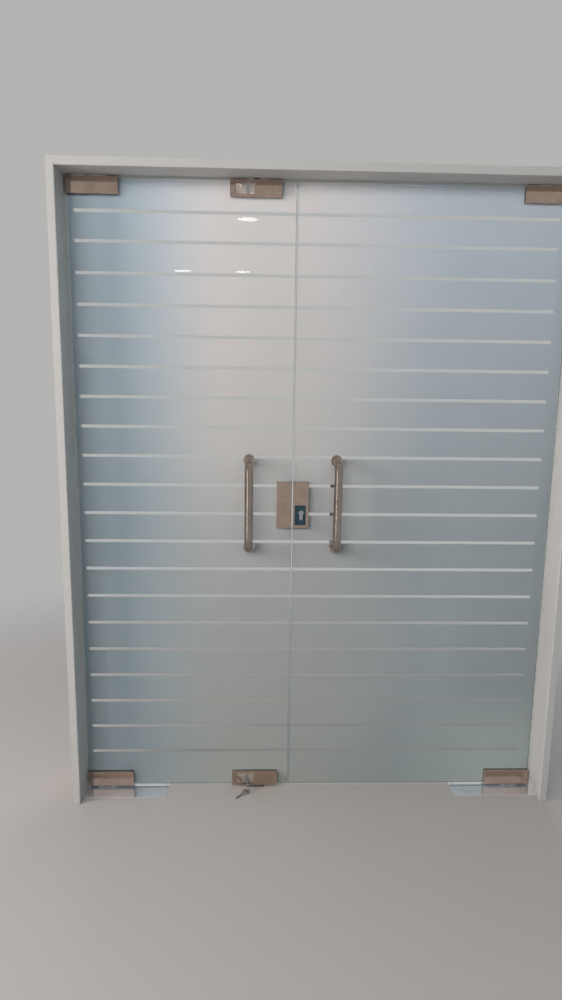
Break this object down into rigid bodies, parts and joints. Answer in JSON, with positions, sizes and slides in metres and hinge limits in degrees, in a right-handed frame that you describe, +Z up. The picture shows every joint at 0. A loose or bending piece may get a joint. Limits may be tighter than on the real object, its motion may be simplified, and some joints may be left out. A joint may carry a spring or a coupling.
{
  "type": "double glass entrance door",
  "caption": "Frameless double glass door with unequal frosted leaves on floor springs, corner patches, patch locks, centre lock and D pulls, in a plain painted lining",
  "frame": {"origin": "on the finished floor, under the gap where the two leaves meet, at the middle of the glass", "axes": "+Z up; +X to the right along the opening, seen from the side with the key; +Y in through the door"},
  "size_m": [1.671, 0.23, 2.164],
  "materials": {
    "painted_board": "satin paint",
    "glass": "clear toughened, polished edges",
    "frosted_film": "translucent frosted film",
    "polished_steel": "mirror polished",
    "cast_alloy": "as cast",
    "gasket": "matt sheet",
    "fixing_steel": "zinc plated",
    "closer_iron": "painted casting",
    "nickelled_brass": "nickel plated, satin",
    "escutcheon": "dark, glossy"
  },
  "bodies": {
    "frame": {"head_lining": "painted_board", "left_jamb_lining": "painted_board", "right_jamb_lining": "painted_board", "left_top_pivot": "fixing_steel", "right_top_pivot": "fixing_steel", "head_strike_plate": "fixing_steel", "floor_strike_socket": "fixing_steel", "left_floor_box": "fixing_steel", "right_floor_box": "fixing_steel", "left_floor_spring": "closer_iron", "right_floor_spring": "closer_iron", "left_floor_cover": "polished_steel", "right_floor_cover": "polished_steel", "frame_screws": "fixing_steel"},
    "left_leaf": {"left_glass": "glass", "left_frosted_film": "frosted_film", "left_top_patch_covers": "polished_steel", "left_top_patch_clamps": "cast_alloy", "left_bottom_patch_covers": "polished_steel", "left_bottom_patch_clamps": "cast_alloy", "left_pivot_blocks": "cast_alloy", "left_gaskets": "gasket", "left_clamp_screws": "fixing_steel", "left_outside_pull": "polished_steel", "left_inside_pull": "polished_steel", "left_pull_fixings": "polished_steel", "left_spindle": "fixing_steel", "top_lock_covers": "polished_steel", "top_lock_case": "cast_alloy", "top_lock_cylinder": "nickelled_brass", "bottom_lock_covers": "polished_steel", "bottom_lock_case": "cast_alloy", "bottom_lock_cylinder": "nickelled_brass", "centre_strike_covers": "polished_steel", "centre_strike_case": "cast_alloy"},
    "right_leaf": {"right_glass": "glass", "right_frosted_film": "frosted_film", "right_top_patch_covers": "polished_steel", "right_top_patch_clamps": "cast_alloy", "right_bottom_patch_covers": "polished_steel", "right_bottom_patch_clamps": "cast_alloy", "right_pivot_blocks": "cast_alloy", "right_gaskets": "gasket", "right_clamp_screws": "fixing_steel", "right_outside_pull": "polished_steel", "right_inside_pull": "polished_steel", "right_pull_fixings": "polished_steel", "right_spindle": "fixing_steel", "centre_lock_covers": "polished_steel", "centre_lock_case": "cast_alloy", "centre_lock_escutcheon": "escutcheon", "centre_lock_cylinder": "nickelled_brass"},
    "top_lock_plug": {"top_lock_plug": "nickelled_brass"},
    "top_lock_bolt": {"top_lock_bolt": "fixing_steel"},
    "bottom_lock_plug": {"bottom_lock_plug": "nickelled_brass", "bottom_lock_key": "fixing_steel", "key_ring": "fixing_steel"},
    "bottom_lock_bolt": {"bottom_lock_bolt": "fixing_steel"},
    "centre_lock_plug": {"centre_lock_plug": "nickelled_brass"},
    "centre_lock_bolt": {"centre_lock_bolt": "fixing_steel"}
  },
  "joints": [
    {"name": "left_leaf_swing", "type": "hinge", "parent": "frame", "child": "left_leaf", "pos_m": [-0.659, 0, 0], "axis": [0, 0, 1], "range_deg": [-90, 90], "stiffness_Nm_per_rad": 25},
    {"name": "right_leaf_swing", "type": "hinge", "parent": "frame", "child": "right_leaf", "pos_m": [0.822, 0, 0], "axis": [0, 0, 1], "range_deg": [-90, 90], "stiffness_Nm_per_rad": 25},
    {"name": "top_lock_turn", "type": "hinge", "parent": "left_leaf", "child": "top_lock_plug", "pos_m": [-0.156, 0, 2.065], "axis": [0, 1, 0], "range_deg": [0, 360]},
    {"name": "top_lock_throw", "type": "slide", "parent": "left_leaf", "child": "top_lock_bolt", "axis": [0, 0, 1], "range_m": [0, 0.02]},
    {"name": "bottom_lock_turn", "type": "hinge", "parent": "left_leaf", "child": "bottom_lock_plug", "pos_m": [-0.148, 0, 0.027], "axis": [0, 1, 0], "range_deg": [0, 360]},
    {"name": "bottom_lock_throw", "type": "slide", "parent": "left_leaf", "child": "bottom_lock_bolt", "axis": [0, 0, -1], "range_m": [0, 0.02]},
    {"name": "centre_lock_turn", "type": "hinge", "parent": "right_leaf", "child": "centre_lock_plug", "pos_m": [0.029, 0, 1.024], "axis": [0, 1, 0], "range_deg": [0, 360]},
    {"name": "centre_lock_throw", "type": "slide", "parent": "right_leaf", "child": "centre_lock_bolt", "axis": [-1, 0, 0], "range_m": [0, 0.02]}
  ],
  "couplings": [
    {"joint": "top_lock_turn", "follows": "top_lock_throw", "rad_per_m": 314.16},
    {"joint": "bottom_lock_turn", "follows": "bottom_lock_throw", "rad_per_m": 314.16},
    {"joint": "centre_lock_turn", "follows": "centre_lock_throw", "rad_per_m": 314.16}
  ]
}
